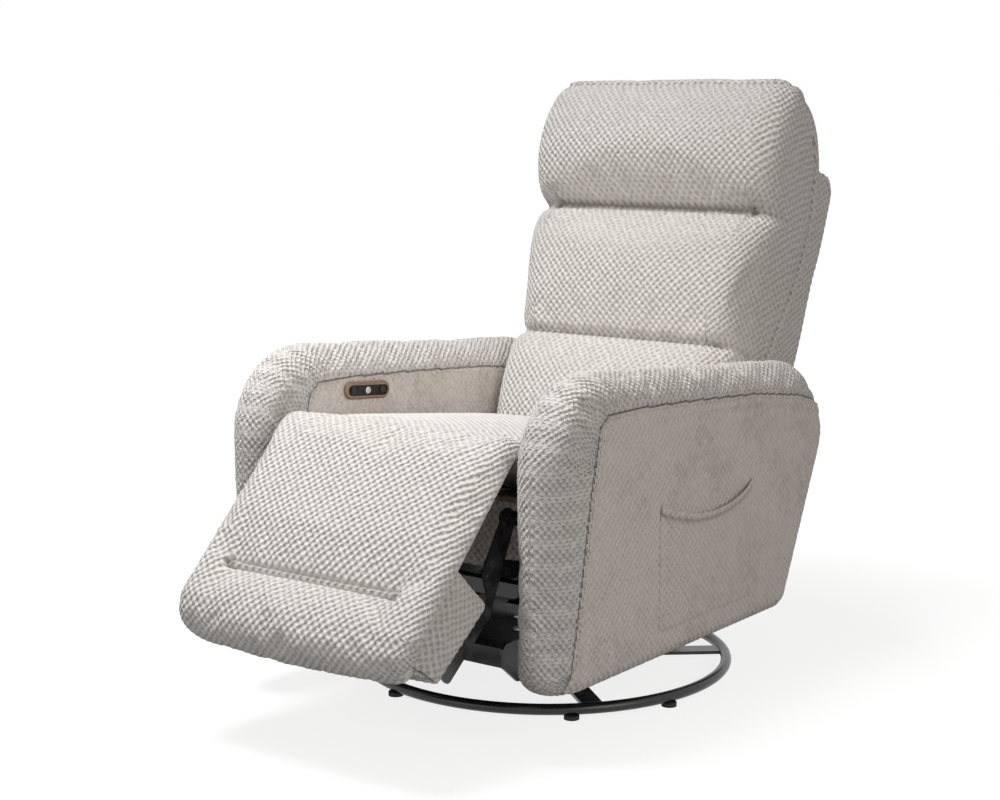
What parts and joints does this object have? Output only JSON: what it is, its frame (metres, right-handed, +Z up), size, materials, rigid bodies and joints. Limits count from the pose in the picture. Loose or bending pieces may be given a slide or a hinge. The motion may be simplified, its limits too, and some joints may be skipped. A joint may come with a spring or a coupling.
{
  "type": "power swivel rocker recliner",
  "caption": "Upholstered power recliner on a round swivel base, with a rocking frame, reclining channelled back, swing-out chaise legrest, control panel and side pocket.",
  "frame": {"origin": "on the floor under the swivel bolt, with the chair as pictured", "axes": "+Z up, the sitter faces -Y, +X is the sitter's left"},
  "size_m": [0.712, 1.302, 1.0376],
  "materials": {
    "waffle_fabric": "matte",
    "arm_fabric": "matte",
    "webbing": "matte",
    "black_steel": "satin",
    "bright_steel": "satin",
    "plywood": "matte",
    "black_plastic": "matte",
    "glide_rubber": "matte",
    "control_bronze": "satin",
    "control_gloss": "gloss",
    "button_black": "satin",
    "button_silver": "satin"
  },
  "bodies": {
    "base": {"base_ring": "black_steel", "base_glides": "glide_rubber", "base_spokes": "black_steel", "swivel_lower_plate": "black_steel", "swivel_lower_race": "bright_steel"},
    "swivel": {"swivel_upper_race": "bright_steel", "swivel_upper_plate": "black_steel", "swivel_bolt": "bright_steel", "rocker_rail_left": "black_steel", "rocker_rail_right": "black_steel", "rocker_crossbars": "black_steel"},
    "frame": {"rocker_springs": "bright_steel", "rocker_cam_left": "black_steel", "rocker_cam_right": "black_steel", "base_rails": "black_steel", "cross_tubes": "black_steel", "side_plate_left": "black_steel", "side_plate_right": "black_steel", "pivot_pins": "bright_steel", "arm_brackets": "black_steel", "seat_sides": "plywood", "seat_front_board": "plywood", "seat_rear_board": "plywood", "front_panel": "waffle_fabric", "seat_webbing": "webbing", "seat_cushion": "waffle_fabric", "knee_roll": "waffle_fabric", "actuator_rail": "black_steel", "actuator_mount": "black_steel", "actuator_motor": "black_plastic", "arm_frames": "plywood", "arm_left": "arm_fabric", "arm_right": "arm_fabric", "control_bezel": "control_bronze", "control_face": "control_gloss", "control_box": "black_plastic", "side_pocket": "arm_fabric"},
    "backrest": {"back_posts": "plywood", "back_rails": "plywood", "back_webbing": "webbing", "back_bracket_left": "black_steel", "back_bracket_right": "black_steel", "back_shell": "waffle_fabric", "back_cushion": "waffle_fabric"},
    "footrest": {"legrest_pad": "waffle_fabric", "ottoman_box": "waffle_fabric", "ottoman_board": "plywood", "ottoman_bracket_left": "black_steel", "ottoman_bracket_right": "black_steel"},
    "front_crank_pair": {"front_cranks": "black_steel"},
    "rear_crank_pair": {"rear_cranks": "black_steel"},
    "upper_bar_pair": {"upper_bars": "black_steel"},
    "lower_bar_pair": {"lower_bars": "black_steel"},
    "torque_shaft": {"torque_tube": "black_steel"},
    "drive_link_pair": {"drive_links": "black_steel"},
    "carriage": {"actuator_carriage": "black_plastic"},
    "front_button": {"button_front": "button_black"},
    "middle_button": {"button_middle": "button_silver"},
    "rear_button": {"button_rear": "button_black"}
  },
  "joints": [
    {"name": "swivel", "type": "hinge", "parent": "base", "child": "swivel", "pos_m": [0, 0, 0.0425], "axis": [0, 0, 1], "continuous": true},
    {"name": "rock", "type": "hinge", "parent": "swivel", "child": "frame", "pos_m": [0, 0, 0.738], "axis": [-1, 0, 0], "range_deg": [-3, 10], "deforming": ["rocker_springs"]},
    {"name": "footrest", "type": "hinge", "parent": "frame", "child": "footrest", "pos_m": [0, -0.38, 0.44], "axis": [-1, 0, 0], "range_deg": [-43, 40], "deforming": ["knee_roll"]},
    {"name": "recline", "type": "hinge", "parent": "frame", "child": "backrest", "pos_m": [0, 0.185, 0.338], "axis": [-1, 0, 0], "range_deg": [0, 38]},
    {"name": "front_crank_turn", "type": "hinge", "parent": "frame", "child": "front_crank_pair", "pos_m": [0, -0.25386, 0.40855], "axis": [-1, 0, 0], "range_deg": [-43, 40]},
    {"name": "rear_crank_turn", "type": "hinge", "parent": "frame", "child": "rear_crank_pair", "pos_m": [0, -0.15683, 0.38436], "axis": [-1, 0, 0], "range_deg": [-43, 40]},
    {"name": "upper_bar_turn", "type": "hinge", "parent": "rear_crank_pair", "child": "upper_bar_pair", "pos_m": [0, -0.19683, 0.31508], "axis": [-1, 0, 0], "range_deg": [-40, 43]},
    {"name": "lower_bar_turn", "type": "hinge", "parent": "rear_crank_pair", "child": "lower_bar_pair", "pos_m": [0, -0.23683, 0.24579], "axis": [-1, 0, 0], "range_deg": [-40, 43]},
    {"name": "torque_turn", "type": "hinge", "parent": "frame", "child": "torque_shaft", "pos_m": [0, -0.03283, 0.26636], "axis": [-1, 0, 0], "range_deg": [-43, 40]},
    {"name": "drive_link_turn", "type": "hinge", "parent": "torque_shaft", "child": "drive_link_pair", "pos_m": [0, -0.09283, 0.16243], "axis": [-1, 0, 0], "range_deg": [-40, 43]},
    {"name": "carriage_slide", "type": "slide", "parent": "frame", "child": "carriage", "axis": [0, -1, 0], "range_m": [-0.06686, 0.06226]},
    {"name": "front_press", "type": "slide", "parent": "frame", "child": "front_button", "axis": [-1, 0, 0], "range_m": [0, 0.0015], "stiffness_N_per_m": 400, "springref_m": -0.001},
    {"name": "middle_press", "type": "slide", "parent": "frame", "child": "middle_button", "axis": [-1, 0, 0], "range_m": [0, 0.0015], "stiffness_N_per_m": 400, "springref_m": -0.001},
    {"name": "rear_press", "type": "slide", "parent": "frame", "child": "rear_button", "axis": [-1, 0, 0], "range_m": [0, 0.0015], "stiffness_N_per_m": 400, "springref_m": -0.001}
  ],
  "couplings": [
    {"joint": "front_crank_turn", "follows": "footrest", "ratio": 1},
    {"joint": "rear_crank_turn", "follows": "footrest", "ratio": 1},
    {"joint": "upper_bar_turn", "follows": "footrest", "ratio": -1},
    {"joint": "lower_bar_turn", "follows": "footrest", "ratio": -1},
    {"joint": "torque_turn", "follows": "footrest", "ratio": 1},
    {"joint": "drive_link_turn", "follows": "footrest", "ratio": -1},
    {"joint": "carriage_slide", "follows": "footrest", "m_per_rad": 0.08775}
  ]
}
